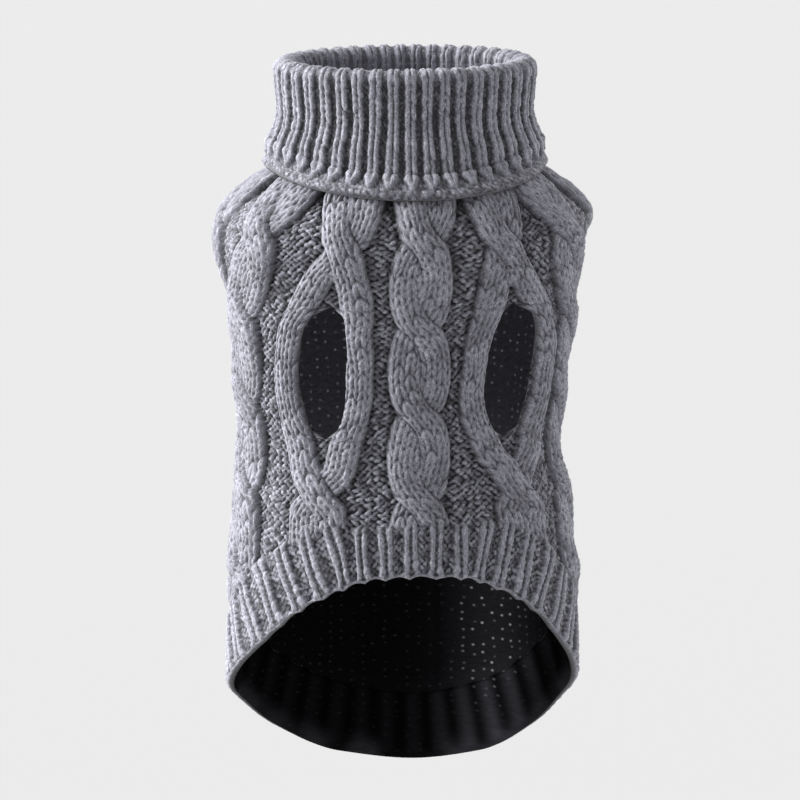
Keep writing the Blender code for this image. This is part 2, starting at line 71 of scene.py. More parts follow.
HOLE_TOP = -50.2
HOLE_BOTTOM = -104.2
HOLE_HALF_WIDTHS = {"left": 10.8, "right": 12.1}
HOLE_BLUNTNESS = (3.2, 2.0)
HOLE_SHOULDER = 0.45

HEM_RIBS = 36
HEM_START = -0.36
HEM_EVENING = 3.5
RIB_LEAN_PIVOT = 0.3
HEM_SKEW = 7.5

COLLAR_RIBS = 40
COLLAR_START = -0.33
COLLAR_EVENING = 4.1
COLLAR_WALL = 1.8
COLLAR_FRONT_DIP = 7.2
COLLAR_DIP_NARROWNESS = 2.2
FOLD_HEIGHT = 38.5
FOLD_RADIUS = 1.5
COLLAR_INNER_HALF_WIDTH = 46.4
COLLAR_DEPTH = 0.750


def table(columns, *rows):
    """Rows of numbers whose columns have names; the first column is the key."""
    return [namedtuple("Row", columns)(*row) for row in rows]


BODY_ROWS = table(
    "height half_width depth askew",
    (12.0, 46.1, 0.750, 0.0),
    (10.0, 46.2, 0.750, 0.0),
    (7.0, 47.0, 0.753, 0.0),
    (2.0, 50.6, 0.758, 0.0),
    (-6.0, 59.8, 0.768, 0.0),
    (-14.0, 67.5, 0.776, 0.0),
    (-20.0, 71.6, 0.780, 0.0),
    (-26.0, 72.6, 0.780, -0.5),
    (-34.0, 71.6, 0.780, -1.6),
    (-55.0, 68.0, 0.780, -1.6),
    (-87.0, 64.0, 0.780, -2.2),
    (-107.0, 62.4, 0.780, -3.0),
    (-119.0, 63.0, 0.780, -2.4),
    (-136.0, 65.4, 0.780, -1.8),
    (-176.0, 68.4, 0.780, -1.0),
    (-200.0, 69.4, 0.780, -1.0),
    (-252.0, 69.2, 0.780, -1.0),
)

HEM_ROWS = table(
    "angle panel_edge hem_edge lean",
    (0.0, -133.0, -158.5, 0.0),
    (15.0, -133.0, -159.5, 1.5),
    (30.0, -135.0, -165.5, 6.5),
    (45.0, -140.0, -175.0, 10.5),
    (60.0, -150.0, -188.0, 14.0),
    (75.0, -162.0, -199.0, 15.0),
    (90.0, -173.5, -208.5, 14.5),
    (110.0, -187.0, -219.0, 12.0),
    (130.0, -203.5, -233.0, 8.5),
    (155.0, -218.0, -246.5, 4.0),
    (180.0, -223.5, -250.5, 0.0),
)

SEAM_ROWS = table(
    "height angle",
    (12.0, 40.0),
    (-10.0, 41.5),
    (-23.0, 44.5),
    (-35.0, 49.0),
    (-48.0, 54.5),
    (-60.0, 59.0),
    (-76.0, 62.0),
    (-100.0, 62.5),
)

CABLE_ROWS = table(
    "height belly flank rear_flank loin spine",
    (12.0, 2.6, 54.0, 93.0, 136.0, 180.0),
    (-10.0, 2.4, 55.0, 94.0, 137.0, 180.0),
    (-23.0, 1.0, 58.5, 97.0, 139.0, 180.0),
    (-35.0, 0.2, 63.5, 101.0, 142.0, 180.0),
    (-60.0, 0.0, 75.0, 110.5, 146.5, 180.0),
    (-80.0, 0.0, 79.0, 113.0, 147.0, 180.0),
)

LEG_ROWS = table(
    "height left left_spread right right_spread right_flare half_width",
    (-7.0, -24.6, 6.1, 28.6, 5.6, 0.0, 6.6),
    (-14.0, -23.8, 5.6, 27.5, 5.0, 0.0, 6.4),
    (-20.0, -23.5, 4.2, 27.3, 3.2, 0.0, 6.4),
    (-26.0, -24.6, 0.3, 28.0, -0.7, 0.0, 6.4),
    (-35.0, -27.7, -5.0, 30.0, -4.5, 0.2, 6.5),
    (-45.0, -29.8, -9.5, 33.0, -8.8, 0.5, 6.6),
    (-53.0, -32.1, -12.3, 35.5, -12.6, 0.6, 6.2),
    (-60.0, -34.3, -14.3, 36.4, -15.3, 0.8, 5.9),
    (-71.0, -35.6, -15.7, 37.7, -18.1, 0.9, 5.7),
    (-82.0, -36.5, -15.8, 37.0, -18.0, 0.9, 5.7),
    (-92.0, -36.7, -14.1, 36.7, -16.6, 0.8, 5.9),
    (-103.0, -36.9, -10.8, 37.2, -12.1, 0.5, 6.4),
    (-110.0, -36.9, -8.8, 38.4, -9.8, 0.3, 6.6),
    (-116.0, -36.8, -7.1, 39.4, -5.9, 0.1, 6.6),
    (-127.0, -37.8, 0.4, 39.9, 0.6, 0.0, 6.5),
    (-135.0, -37.7, 5.7, 41.4, 5.6, 0.0, 6.5),
    (-160.0, -37.5, 6.4, 42.5, 6.5, 0.0, 6.6),
)
LEG_CROSSINGS = (-25.0, -126.0)
LEG_CROSSING_REACH = 20.0

# Middle lines of the leg openings.
HOLE_ROWS = table(
    "height left right",
    (-50.2, -30.6, 34.6),
    (-54.5, -32.0, 36.5),
    (-60.0, -33.6, 37.0),
    (-70.0, -34.9, 36.6),
    (-80.0, -36.0, 35.5),
    (-92.0, -35.7, 35.2),
    (-104.2, -35.8, 34.9),
)

COLLAR_ROWS = table(
    "height half_width depth",
    (38.5, 49.4, 0.750),
    (30.0, 48.7, 0.750),
    (23.0, 48.2, 0.750),
    (17.0, 49.2, 0.752),
    (10.0, 52.0, 0.760),
    (5.0, 52.8, 0.770),
    (1.0, 54.8, 0.776),
    (-2.0, 59.4, 0.780),
    (-4.0, 62.4, 0.780),
    (-7.5, 66.2, 0.780),
)
# How much of the front dip is left at each height over the collar's lower edge.
DIP_ROWS = table(
    "height share",
    (0.0, 1.0),
    (1.2, 0.9),
    (4.0, 0.7),
    (6.4, 0.45),
    (16.0, 0.0),
)

# ---- yarn and stitches, in mm
WALES = 3                       # wales of plain knit across one cable strand
COURSE = 3.4                    # height of one row of plain stitches
LEG_LEAN = 0.85                 # half widths that a stitch's leg leans over in one course
LEG_HALF_WIDTH = 0.88           # share of its half of the wale that the yarn takes up
LEG_HALF_LENGTH = 0.84          # courses; over 0.5, each stitch starts inside the one before
STITCH_DEPTH = 1.15             # from the top of the yarn to the gaps between stitches
STRAND_WEB = 0.93               # height kept between two strands that lie side by side
PURL_WALE = 3.5
PURL_COURSE = 2.55
BEAD_HALF_LENGTH = 0.44         # wales
BEAD_HALF_HEIGHT = 0.35         # courses
PURL_DEPTH = 1.35
TROUGH_DEPTH = 0.55             # how far the ground sinks beside a strand
TROUGH_REACH = 1.6
HEM_COURSE = 2.55
COLLAR_COURSE = 3.2
PARTING = 163.4                 # angle at which the wide back is made in two stretches

BELLY_ROWS = (16, 12, 8)        # above, beside and below the leg openings
BELLY_SIDE_COLUMNS = 6
BELLY_MIDDLE_COLUMNS = 8
BELLY_CELL = (10, 8)            # fine columns and rows to a coarse one
BACK_CELL = (10, 10)
BACK_ROWS = 370


# ---- tables
def read_table(rows, column, x):
    """Smooth values of a column at x, with no overshoot."""
    rows = sorted(rows)
    keys = np.array([row[0] for row in rows])
    values = np.array([getattr(row, column) for row in rows])
    chord = np.diff(values) / np.diff(keys)
    product = chord[:-1] * chord[1:]
    total = np.where(product > 0.0, chord[:-1] + chord[1:], 1.0)
    slope = np.zeros_like(values)
    slope[1:-1] = np.where(product > 0.0, 2.0 * product / total, 0.0)
    x = np.clip(x, keys[0], keys[-1])
    at = np.clip(np.searchsorted(keys, x, side="right") - 1, 0, len(chord) - 1)
    span = keys[at + 1] - keys[at]
    t = (x - keys[at]) / span
    rise = values[at + 1] - values[at]
    start, end = slope[at] * span, slope[at + 1] * span
    return (values[at] + start * t + (3.0 * rise - 2.0 * start - end) * t ** 2
            + (start + end - 2.0 * rise) * t ** 3)


def ramp(x, low, high):
    """0 at low, 1 at high, smooth between."""
    t = np.clip((x - low) / (high - low), 0.0, 1.0)
    return t * t * (3.0 - 2.0 * t)


def dome(*parts):
    """A round form's height: 1 in its middle, 0 where the parts' squares add up to 1."""
    return np.sqrt(np.clip(1.0 - sum(part ** 2 for part in parts), 0.0, 1.0))


def bell(x):
    """1 at 0, and near 0 beyond 2 to either side."""
    return np.exp(-(x ** 2))


def wrapped(angle):
    """The same angle between -180 and 180."""
    return (angle + 180.0) % 360.0 - 180.0


def draw(first, second, seed):
    """One fixed draw from 0 to 1 for each pair of whole numbers."""
    mixed = np.sin(first * 127.1 + second * 311.7 + seed * 74.7) * 43758.5453
    return mixed - np.floor(mixed)


def ripple(x, y, length, seed):
    """Slow unevenness of a hand of cloth, about -1 to 1, over a given length."""
    total = 0.0
    for step in range(4):
        turn = 2.4 * step + seed
        total = total + np.sin((x * math.cos(turn) + y * math.sin(turn)) * math.tau
                               / (length * (1.0 + 0.37 * step)) + 1.7 * turn)
    return 0.4 * total


def sway(share, seed):
    """Slow unevenness round a closed band, about -1 to 1; share is a part of one turn."""
    total = 0.0
    for step, waves in enumerate((3, 8, 13, 21)):
        total = total + np.sin(math.tau * waves * share + seed * (1.0 + 1.7 * step))
    return 0.4 * total


# ---- body surface
def stack(x, y, z):
    return np.stack(np.broadcast_arrays(x, y, z), axis=-1)


def ground_point(angle, height):
    half_width = read_table(BODY_ROWS, "half_width", height)
    half_depth = half_width * read_table(BODY_ROWS, "depth", height)
    turn = np.radians(angle)
    across = half_width * np.sin(turn) + read_table(BODY_ROWS, "askew", height) * np.sin(turn) ** 4
    return stack(across, -half_depth * np.cos(turn), height)


def ground_normal(angle, height):
    along = ground_point(angle + PROBE, height) - ground_point(angle - PROBE, height)
    up = ground_point(angle, height + PROBE) - ground_point(angle, height - PROBE)
    normal = np.cross(along, up)
    return normal / np.linalg.norm(normal, axis=-1, keepdims=True)


def mm_per_degree(angle, height):
    across = ground_point(angle + PROBE, height) - ground_point(angle - PROBE, height)
    return np.linalg.norm(across, axis=-1)


def hem_angle(angle):
    """Angle at which the hem tables are read: the long back hangs a little askew."""
    behind = 0.5 * (1.0 - np.cos(np.radians(angle)))
    turned = angle + HEM_SKEW * behind * behind
    return np.abs(wrapped(turned))


def panel_edge(angle):
    return read_table(HEM_ROWS, "panel_edge", hem_angle(angle))


def hem_edge(angle):
    return read_table(HEM_ROWS, "hem_edge", hem_angle(angle))


# ---- stitches
def yarn_leg(across, course, leg, seed, lean=LEG_LEAN):
    """One leg of each stitch in a column, 0 in the gaps to 1 on the yarn, and its draw.

    across runs from -1 in the middle of the wale to 1 at its side.
    """
    level = np.zeros_like(course)
    luck = np.zeros_like(course)
    for step in (-1.0, 0.0, 1.0):
        number = np.floor(course) + step
        chance = draw(leg, number, seed)
        down = course - number - 0.5 - 0.5 * (chance - 0.5)
        beside = (across + lean * down) / (LEG_HALF_WIDTH * (0.80 + 0.36 * chance))
        along = down / LEG_HALF_LENGTH
        bulge = dome(beside, along) * (0.74 + 0.26 * chance)
        luck = np.where(bulge > level, chance, luck)
        level = np.maximum(level, bulge)
    return level, luck


def plain_stitch(wale, course, seed):
    """Plain knit, whose legs draw together downwards."""
    nearest = np.round(wale)
    side = np.sign(wale - nearest)
    return yarn_leg(4.0 * np.abs(wale - nearest) - 1.0, course, 2.0 * nearest + side, seed)


def ridge(x, half_width):
    """Round ridges along every whole number."""
    return dome((x - np.round(x)) / half_width)


def purl_stitch(wale, course, seed, around=None):
    """Purl side: staggered, slanting beads of yarn, 0 to 1, and a draw for each of them.

    around is the number of wales after which a closed band's beads start again.
    """
    level = np.zeros_like(course)
    luck = np.zeros_like(course)
    for start in (0.0, 0.5):
        column = np.round(wale - start) + start
        line = np.round(course - start) + start
        key = 2.0 * (column if around is None else column % around)
        chance, other = draw(key, 2.0 * line, seed), draw(key, 2.0 * line, seed + 1.0)
        beside = wale - column - 0.34 * (chance - 0.5)
        slant = (0.40 - 1.6 * start) + 1.1 * (other - 0.5)
        up = course - line + slant * beside - 0.26 * (other - 0.5)
        bulge = dome(beside / BEAD_HALF_LENGTH, up / BEAD_HALF_HEIGHT)
        bulge = bulge * (0.55 + 0.45 * chance)
        luck = np.where(bulge > level, chance, luck)
        level = np.maximum(level, bulge)
    return level, luck


# ---- cables
def strand_profile(across):
    return np.clip(1.0 - np.abs(across) ** 3, 0.0, 1.0) ** 0.6


def rope_strand(height, sign, _name):
    """Offset in mm, half width and height of one strand of a rope cable."""
    phase = math.pi * (ROPE_FIRST_CROSSING - height) / ROPE_PITCH
    swing = np.sin(phase) / np.hypot(np.sin(phase), ROPE_SHARPNESS * np.cos(phase))
    rise = STRAND_HEIGHT + sign * STRAND_LIFT * np.cos(phase)
    return sign * ROPE_HALF_SPREAD * swing, STRAND_HALF_WIDTH + 0.0 * height, rise


def leg_strand(height, sign, name):
    """The same for a strand of a cable that opens round a leg."""
    lift = 0.0
    for number, crossing in enumerate(LEG_CROSSINGS):
        near = bell((height - crossing) / (0.5 * LEG_CROSSING_REACH))
        lift = lift + near * (1.0 if number % 2 == 0 else -1.0)
    half_width = read_table(LEG_ROWS, "half_width", height)
    if name == "right":
        half_width = half_width + sign * read_table(LEG_ROWS, "right_flare", height)
    return (-sign * read_table(LEG_ROWS, name + "_spread", height), half_width,
            STRAND_HEIGHT + sign * STRAND_LIFT * lift)


def web_level(cable, beside, height):
    """Height kept between two strands that touch side by side."""
    offset, half_width, rise = cable.strand(height, 1.0, cable.name)
    rise = np.minimum(rise, cable.strand(height, -1.0, cable.name)[2])
    apart = np.abs(offset)
    touching = ramp(half_width - apart, -0.8, 0.1) * (np.abs(beside) < apart)
    return touching * rise * STRAND_WEB * strand_profile(beside / (apart + half_width))


Cable = namedtuple("Cable", "rows name side strand")
CABLES = (
    *(Cable(LEG_ROWS, name, 1.0, leg_strand) for name in ("left", "right")),
    Cable(CABLE_ROWS, "belly", 1.0, rope_strand),
    *(Cable(CABLE_ROWS, name, side, rope_strand)
      for name in ("flank", "rear_flank", "loin") for side in (1.0, -1.0)),
    Cable(CABLE_ROWS, "spine", 1.0, rope_strand),
)
PATH_STEP = 0.5
PATH_HEIGHTS = np.arange(-262.0, 14.0, PATH_STEP)


def strand_line(cable, height, sign):
    """Distance of a strand's middle from the cable's, its slope, and its slope on the body."""
    def slope(function):
        return (function(height + PROBE) - function(height - PROBE)) / (2.0 * PROBE)

    centre = cable.side * read_table(cable.rows, cable.name, height)
    drift = slope(lambda h: cable.side * read_table(cable.rows, cable.name, h))
    slant = slope(lambda h: cable.strand(h, sign, cable.name)[0])
    return centre, slant, slant + drift * mm_per_degree(centre, height)


def path_length(cable, sign):
    """Length along a strand from the top, at each of PATH_HEIGHTS."""
    lean = strand_line(cable, PATH_HEIGHTS, sign)[2]
    return np.cumsum(np.hypot(1.0, lean)[::-1])[::-1] * PATH_STEP


# lit is painted light and shade, a share of the yarn colour that is low in the gaps and hollows
# where shade falls; luck is each stitch's draw, or on an inner face the share of painted pinhole
# glow
Cloth = namedtuple("Cloth", "relief lit luck across along")

# Loops of yarn that have been pulled out of the cloth: middle, size in mm, and lean in degrees.
LOOP_ROWS = table(
    "angle height half_length half_width lean",
    (-26.4, -119.0, 4.3, 1.35, 4.0),
    (-23.8, -137.2, 2.8, 0.75, 86.0),
)
LOOP_HEIGHT = 1.5


def with_loops(cloth, angle, height):
    """The same cloth with its pulled loops, which lie open on top of it."""
    level = np.zeros_like(height)
    for row in LOOP_ROWS:
        across, up = (angle - row.angle) * mm_per_degree(angle, height), height - row.height
        lean = math.radians(row.lean)
        along = (up * math.cos(lean) + across * math.sin(lean)) / row.half_length
        beside = (across * math.cos(lean) - up * math.sin(lean)) / row.half_width
        beside = beside / (0.8 - 0.2 * along)
        level = np.maximum(level, dome(beside, along) * (1.0 - 0.45 * bell(beside / 0.25)))
    on_loop = level > 0.05
    # painted light: the loops are coloured lighter, most on their tops, and take the highest draw
    return cloth._replace(relief=cloth.relief + np.where(on_loop, LOOP_HEIGHT * level, 0.0),
                          lit=np.where(on_loop, 0.35 + 0.9 * level, cloth.lit),
                          luck=np.where(on_loop, 1.0, cloth.luck))


def body_cloth(angle, height):
    """Relief over the ground, and what the yarn shows there with its painted shade, for the belly
    and the back.
    """
    top, second, step, share, along, across, owner = (np.zeros_like(angle) for _ in range(7))
    web = np.zeros_like(angle)
    clear = np.full_like(angle, 9.0)        # mm to the nearest strand's edge
    for number, cable in enumerate(CABLES):
        centre = cable.side * read_table(cable.rows, cable.name, height)
        away = wrapped(angle - centre)
        near = np.abs(away) < CABLE_REACH
        if not near.any():
            continue
        here = height[near]
        beside = away[near] * mm_per_degree(centre[near], here)
        web[near] = np.maximum(web[near], web_level(cable, beside, here))
        rises = [cable.strand(here, sign, cable.name)[2] for sign in (1.0, -1.0)]
        for sign in (1.0, -1.0):
            offset, half_width, rise = cable.strand(here, sign, cable.name)
            _, slant, lean = strand_line(cable, here, sign)
            part = (beside - offset) / (half_width * np.hypot(1.0, slant))
            level = rise * strand_profile(part)
            length = np.interp(here, PATH_HEIGHTS, path_length(cable, sign))
            length = length - (beside - offset) * lean / np.hypot(1.0, lean)
            wins = level > top[near]
            second[near] = np.where(wins, top[near], np.maximum(second[near], level))
            clear[near] = np.minimum(clear[near], (np.abs(part) - 1.0) * half_width)
            for kept, new in ((share, part), (along, length), (across, part * half_width),
                              (step, np.abs(rises[0] - rises[1])),
                              (owner, 2.0 * number + 0.5 * sign + 0.5), (top, level)):
                kept[near] = np.where(wins, new, kept[near])

    uneven = 0.16 * ripple(across, along, 17.0, 1.0)
    stitch, luck = plain_stitch(0.5 * WALES * share + uneven, along / COURSE, owner)
    gathered = ramp(height, NECK_SEAM, GATHER_END)
    above_hem = ramp(height - panel_edge(angle), 0.0, HEM_FLATTENING_LENGTH)
    raised = np.maximum(top, web) * gathered * (1.0 - HEM_FLATTENING * (1.0 - above_hem))
    crease = bell((top - second) / 0.5) * (second > 0.4) * ramp(step, 0.5, 1.6)
    knit = raised - STITCH_DEPTH * (1.0 - stitch) - 0.6 * crease

    # the ground's pattern starts and ends under the cable along the spine
    girth = wrapped(angle) * MM_PER_DEGREE
    bent = 0.7 * ripple(girth, height, 14.0, 4.0)
    purl, purl_luck = purl_stitch((girth + bent) / PURL_WALE, (bent - height) / PURL_COURSE, 7.0)
    trough = bell(np.maximum(clear, 0.0) / TROUGH_REACH)
    neck = ramp(height, *GATHERS)
    ground = (0.1 + 0.35 * ripple(girth, height, 9.0, 2.0) - 0.9 * neck
              - PURL_DEPTH * (1.0 - purl) - TROUGH_DEPTH * trough)

    is_knit = (knit > ground) & (raised > 0.0)
    # painted shade: the yarn colour is darkened in the gaps between stitches, in the creases where
    # strands cross, on the strands' flanks, in the troughs beside them and under the gathers at
    # the neck
    flank = bell((1.0 - np.abs(share)) / 0.10) * (top > 0.0) * (web < 0.5)
    lit_knit = (0.32 + 0.68 * stitch) * (1.0 - 0.55 * crease) * (1.0 - 0.35 * flank)
    lit_ground = ((0.09 + (0.55 + 0.50 * purl_luck) * purl) * (1.0 - 0.5 * trough)
                  * (1.0 - 0.8 * neck))
    return Cloth(np.where(is_knit, knit, ground), np.where(is_knit, lit_knit, lit_ground),
                 np.where(is_knit, luck, purl_luck), np.where(is_knit, across, height),
                 np.where(is_knit, along, girth))


# ---- ribs
HEM_PITCH = 9.8
COLLAR_PITCH = 7.1
COLLAR_LENGTH = 80.0            # of cloth, from the lower edge over the rim to the neck seam
HEM_LEG = 0.160                 # middle of a cord, in rib pitches from the middle of the rib
HEM_LEG_HALF = 0.125
HEM_EDGE = 1.2                  # width of the bound-off edge, in mm
HEM_SCALLOP = 1.3               # how far the edge is drawn up between two ribs, in mm
COLLAR_LEG = 0.168
COLLAR_LEG_HALF = 0.162
COLLAR_CORD = 4.4               # the bound-off cord along the collar's edge, in mm
KNOB_HEIGHT = 9.6               # middle of the knobs in which the collar's ribs end


def hem_cloth(turn, angle, height, left):
    """The hem's ribs: two cords to a rib, purl between them, and a bound-off edge.

    left is the distance that is left to the edge.
    """
    down = panel_edge(angle) - height
    place = turn + 0.07 * sway(turn / HEM_RIBS + 0.0015 * down, 5.0)
    rib = np.round(place)
    number = rib % HEM_RIBS
    side = np.sign(place - rib)
    beside = np.abs(place - rib)
    flare = 0.07 * (1.0 - ramp(left, 1.0, 4.5))
    course = down / HEM_COURSE
    part = (beside - HEM_LEG - flare) / (HEM_LEG_HALF + 0.3 * flare)
    leg, luck = yarn_leg(part, course, 2.0 * number + side, 9.0, lean=0.30)
    on_leg = np.abs(part) < 1.0
    crest = 1.0 - ramp(beside - flare, HEM_LEG + 0.09, HEM_LEG + 0.16)
    purl, purl_luck = purl_stitch(4.0 * place, 0.9 * course, 3.0, 4.0 * HEM_RIBS)
    floor = -0.25 - 1.0 * (1.0 - purl)
    ribs = 1.25 * crest + np.where(on_leg, 0.95 * leg, 0.0)
    relief = np.where(crest > 0.5, ribs - 0.2, np.maximum(floor, ribs - 0.9))
    between = ridge(course + 0.5 * draw(number, 1.0, 3.0), 0.32)
    # painted shade: the cords are lighter on their yarn, darker between them and in the purl's
    # gaps
    lit = np.where(on_leg & (crest > 0.3), 0.34 + 0.72 * leg ** 0.6,
                   np.where(crest > 0.5, 0.12 + 0.26 * between,
                            0.07 + (0.42 + 0.50 * purl_luck) * purl))
    luck = np.where(on_leg, luck, purl_luck)

    edge = dome(2.0 * left / HEM_EDGE - 1.0)
    lump, lump_luck = purl_stitch(3.0 * place, left / 1.3, 11.0, 3.0 * HEM_RIBS)
    bound = 0.1 + 0.7 * edge + 0.6 * lump - 0.3 * (left < 0.1)
    relief = np.maximum(np.maximum(bound, 0.0) * (left < HEM_EDGE), relief * ramp(left, 0.2, 1.6))
    # the bound-off edge is painted lighter along its top
    lit = np.where(left < HEM_EDGE, 0.30 + (0.45 + 0.35 * lump_luck) * edge + 0.2 * lump, lit)

    body = body_cloth(angle, height)
    start = 0.6 + 3.0 * draw(number, 0.0, 2.0) + 3.0 * beside
    mixed = ramp(down, start, start + 3.0)
    return Cloth(body.relief + (relief - body.relief) * mixed, body.lit + (lit - body.lit) * mixed,
                 np.where(mixed > 0.5, luck, body.luck),
                 np.where(mixed > 0.5, beside * HEM_PITCH, body.across),
                 np.where(mixed > 0.5, down, body.along))


def collar_cloth(turn, over_edge, turned):
    """The collar's ribs, from the bound-off edge up.

    over_edge is measured along the cloth; turned is 1 past the rim, where the ribs close up.
    """
    place = turn + 0.05 * sway(turn / COLLAR_RIBS + 0.001 * over_edge, 8.0)
    rib = np.round(place)
    number = rib % COLLAR_RIBS
    side = np.sign(place - rib)
    beside = np.abs(place - rib)
    course = over_edge / COLLAR_COURSE + 0.35 * draw(number, 0.0, 6.0)
    lift = 0.8 * (draw(number, side, 12.0) - 0.5)
    knob = bell((over_edge - KNOB_HEIGHT - lift) / 1.5)
    # each rib's two legs end in a knob and then run together, like a V, into the cord
    apart = ramp(over_edge, COLLAR_CORD - 1.2, KNOB_HEIGHT - 0.4)
    half = COLLAR_LEG_HALF * (0.70 + 0.30 * apart) + 0.045 * knob + 0.035 * turned
    part = (beside - COLLAR_LEG * apart - 0.035 * knob - 0.02 * turned) / half
    leg, luck = yarn_leg(part, course, 2.0 * number + side, 5.0, lean=0.55)
    leg = np.where(over_edge < KNOB_HEIGHT + 1.6, dome(part), leg)
    on_leg = np.abs(part) < 1.0
    crest = 1.0 - ramp(np.abs(part), 0.75, 1.25)
    crest = np.where(beside < COLLAR_LEG * apart,
                     np.maximum(crest, (0.75 + 0.55 * turned) * apart), crest)
    purl, purl_luck = purl_stitch(4.0 * place, 1.6 * course, 15.0, 4.0 * COLLAR_RIBS)
    low = 1.0 - ramp(over_edge, KNOB_HEIGHT - 3.0, KNOB_HEIGHT)
    notch = bell((over_edge - KNOB_HEIGHT - lift - 2.3) / 0.7)
    ribs = 0.85 * crest + np.where(on_leg, 0.95 * leg, 0.0) + 0.55 * knob * crest - 0.35 * notch
    relief = np.maximum(ribs, -0.85 + 1.55 * turned + (0.35 + 0.95 * low) * purl)
    between = ridge(course + draw(number, 2.0, 3.0), 0.34)
    # painted shade: the legs are lighter on their yarn and darker at the notches over the knobs;
    # between the ribs the colour is painted lighter past the rim and low down, and darkest in the
    # purl's gaps
    lit = np.where(on_leg, (0.34 + 0.70 * leg ** 0.7) * (1.0 - 0.35 * notch),
                   np.where(crest > 0.5, 0.08 + 0.30 * between + 0.35 * turned,
                            0.09 + 0.37 * turned + 0.06 * low
                            + (0.16 + 0.34 * purl_luck ** 2 + 0.55 * low) * purl))

    # a lumpy cord of purl bumps
    middle = 0.5 * COLLAR_CORD
    cord = dome((over_edge - middle) / (middle + 0.5))
    bump, bump_luck = purl_stitch(3.0 * place, over_edge / 2.1, 13.0, 3.0 * COLLAR_RIBS)
    bead = 0.50 * cord + 0.75 * bump * cord - 0.2 * (over_edge < 0.1)
    ending = ramp(over_edge, COLLAR_CORD - 0.9, COLLAR_CORD + 0.5)
    relief = np.maximum(bead - 1.4 * ending, relief * ending)
    on_cord = ending < 0.5
    # the cord is painted darker towards its sides
    lit = np.where(on_cord, (0.26 + (0.50 + 0.35 * bump_luck) * bump) * (0.6 + 0.4 * cord), lit)
    return Cloth(relief, lit, np.where(on_cord, bump_luck, luck),
                 beside * COLLAR_PITCH + 10.0 * on_cord, over_edge)


# ---- places
def hole_sides(height, name):
    """Angles of both sides of a leg opening at a height."""
    middle = 0.5 * (HOLE_TOP + HOLE_BOTTOM)
    share = (height - middle) / (0.5 * (HOLE_TOP - HOLE_BOTTOM))
    bluntness = np.where(share > 0.0, *HOLE_BLUNTNESS)
    open_share = np.clip(1.0 - np.abs(share) ** bluntness, 0.0, 1.0) ** HOLE_SHOULDER
    line = read_table(HOLE_ROWS, name, height)
    half = HOLE_HALF_WIDTHS[name] * open_share / mm_per_degree(line, height)
    return line - half, line + half


def belly_place(column, row, side):
    """Angle and height of a belly point; columns bend round the leg openings."""
    above, beside, below = BELLY_ROWS
    height = np.interp(row, (0, above, above + beside), (NECK_SEAM, HOLE_TOP, HOLE_BOTTOM))
    seam = read_table(SEAM_ROWS, "angle", height)
    left = hole_sides(height, "left")
    right = hole_sides(height, "right")
    first = BELLY_SIDE_COLUMNS
    middle = first + BELLY_MIDDLE_COLUMNS
    second = middle + BELLY_MIDDLE_COLUMNS
    last = second + BELLY_SIDE_COLUMNS

    def run(start, end, low, high):
        return start + (end - start) * (column - low) / (high - low)

    angle = np.select(
        ((column < first) | ((column == first) & (side <= 0)), column <= middle,
         (column < second) | ((column == second) & (side <= 0))),
        (run(-seam, left[0], 0, first), run(left[1], 0.0, first, middle),
         run(0.0, right[0], middle, second)),
        run(right[1], seam, second, last))
    share = np.clip((row - above - beside) / below, 0.0, 1.0)
    return angle, height + (panel_edge(angle) - HOLE_BOTTOM) * share


def back_place(around, down, start, end):
    """Angle and height on the back; start and end are angles, or None for the seams."""
    height = np.full_like(around, NECK_SEAM)
    for _ in range(5):
        seam = read_table(SEAM_ROWS, "angle", height)
        low = seam if start is None else start
        high = 360.0 - seam if end is None else end
        angle = low + (high - low) * around
        height = NECK_SEAM + (panel_edge(angle) - NECK_SEAM) * down
    return angle, height


def rib_angle(turn, count, start, evening):
    """Angle at a number of ribs round a band."""
    even = 360.0 * (turn + start) / count
    return even - evening * np.sin(np.radians(2.0 * even))


def hem_place(turn, share):
    """Angle and height on the hem band, and the distance left to its edge.

    turn is in ribs, and share is 0 at the band's upper edge.
    """
    angle = rib_angle(turn, HEM_RIBS, HEM_START, HEM_EVENING)
    from_front = np.abs(wrapped(angle))
    lean = np.sign(wrapped(angle)) * read_table(HEM_ROWS, "lean", from_front)
    angle = angle - lean * (share - RIB_LEAN_PIVOT)
    top = panel_edge(angle)
    scallop = np.abs(np.sin(math.pi * (turn + 0.12 * sway(turn / HEM_RIBS, 3.0)))) - 0.35
    scallop = scallop * (1.0 - ramp(from_front, 45.0, 80.0))
    length = top - hem_edge(angle) - HEM_SCALLOP * scallop
    return angle, top - length * share, length * (1.0 - share)


COLLAR_SHARES = (0.0, 0.52, 0.72, 1.0)      # rows spent on the outside, the rim and the inside


